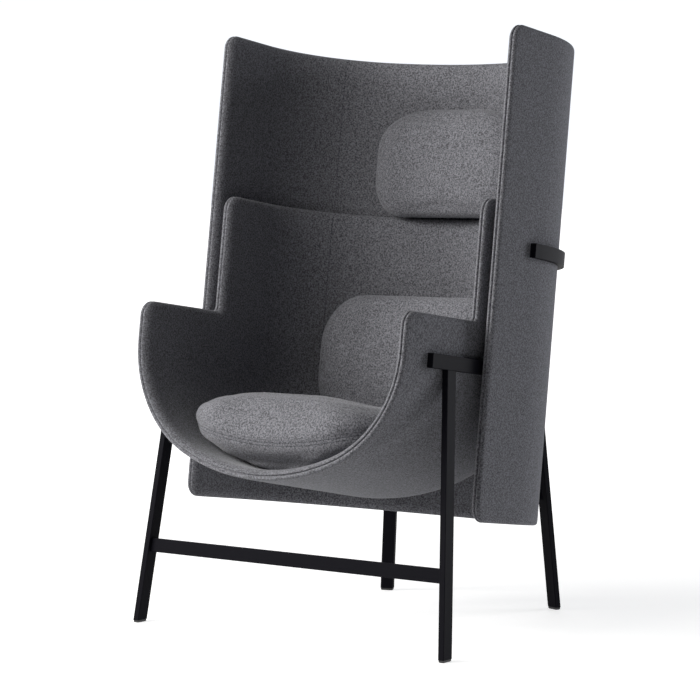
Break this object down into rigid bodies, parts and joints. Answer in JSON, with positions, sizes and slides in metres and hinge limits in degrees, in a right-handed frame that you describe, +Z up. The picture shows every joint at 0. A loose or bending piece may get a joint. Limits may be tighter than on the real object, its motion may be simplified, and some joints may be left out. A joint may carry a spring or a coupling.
{
  "type": "high back lounge chair",
  "caption": "Upholstered high back lounge chair: a bucket seat shell nested in a tall wrap-round privacy shell, on a flat bar steel frame, with loose seat, lumbar and head cushions.",
  "frame": {"origin": "on the floor, under the middle of the chair's bounding box", "axes": "+X to the sitter's left, +Y to the back of the chair, +Z up"},
  "size_m": [0.7662, 0.7808, 1.1964],
  "materials": {
    "shell_core": "moulded plywood, unfinished",
    "bucket_fabric": "grey melange wool felt over thin foam",
    "wrap_fabric": "grey melange wool felt over thin foam",
    "cushion_fabric": "grey melange wool felt over wadding",
    "foam": "cushion foam",
    "frame_steel": "black satin powder coat",
    "glide_plastic": "black nylon",
    "bolt_steel": "zinc plated"
  },
  "bodies": {
    "chair": {"bucket_core": "shell_core", "bucket_lining": "bucket_fabric", "bucket_cover": "bucket_fabric", "wrap_core": "shell_core", "wrap_lining": "wrap_fabric", "wrap_cover": "wrap_fabric", "arm_bracket_left": "frame_steel", "arm_bracket_right": "frame_steel", "front_leg_left": "frame_steel", "front_leg_right": "frame_steel", "front_stretcher": "frame_steel", "rear_leg_left": "frame_steel", "rear_leg_right": "frame_steel", "rear_stretcher": "frame_steel", "back_band": "frame_steel", "front_glide_left": "glide_plastic", "front_glide_right": "glide_plastic", "rear_glide_left": "glide_plastic", "rear_glide_right": "glide_plastic", "bracket_bolts": "bolt_steel", "wing_bolts": "bolt_steel", "band_bolts": "bolt_steel"},
    "seat_cushion": {"seat_cushion_cover": "cushion_fabric", "seat_cushion_foam": "foam"},
    "lumbar_cushion": {"lumbar_cushion_cover": "cushion_fabric", "lumbar_cushion_foam": "foam"},
    "head_cushion": {"head_cushion_cover": "cushion_fabric", "head_cushion_foam": "foam"}
  },
  "joints": [
    {"name": "seat_lift", "type": "slide", "parent": "chair", "child": "seat_cushion", "axis": [0, 0.1374, 0.9905], "range_m": [0, 0.15]},
    {"name": "lumbar_lift", "type": "slide", "parent": "chair", "child": "lumbar_cushion", "axis": [0, 0.1374, 0.9905], "range_m": [0, 0.15]},
    {"name": "head_lift", "type": "slide", "parent": "chair", "child": "head_cushion", "axis": [0, 0.1374, 0.9905], "range_m": [0, 0.1]}
  ]
}
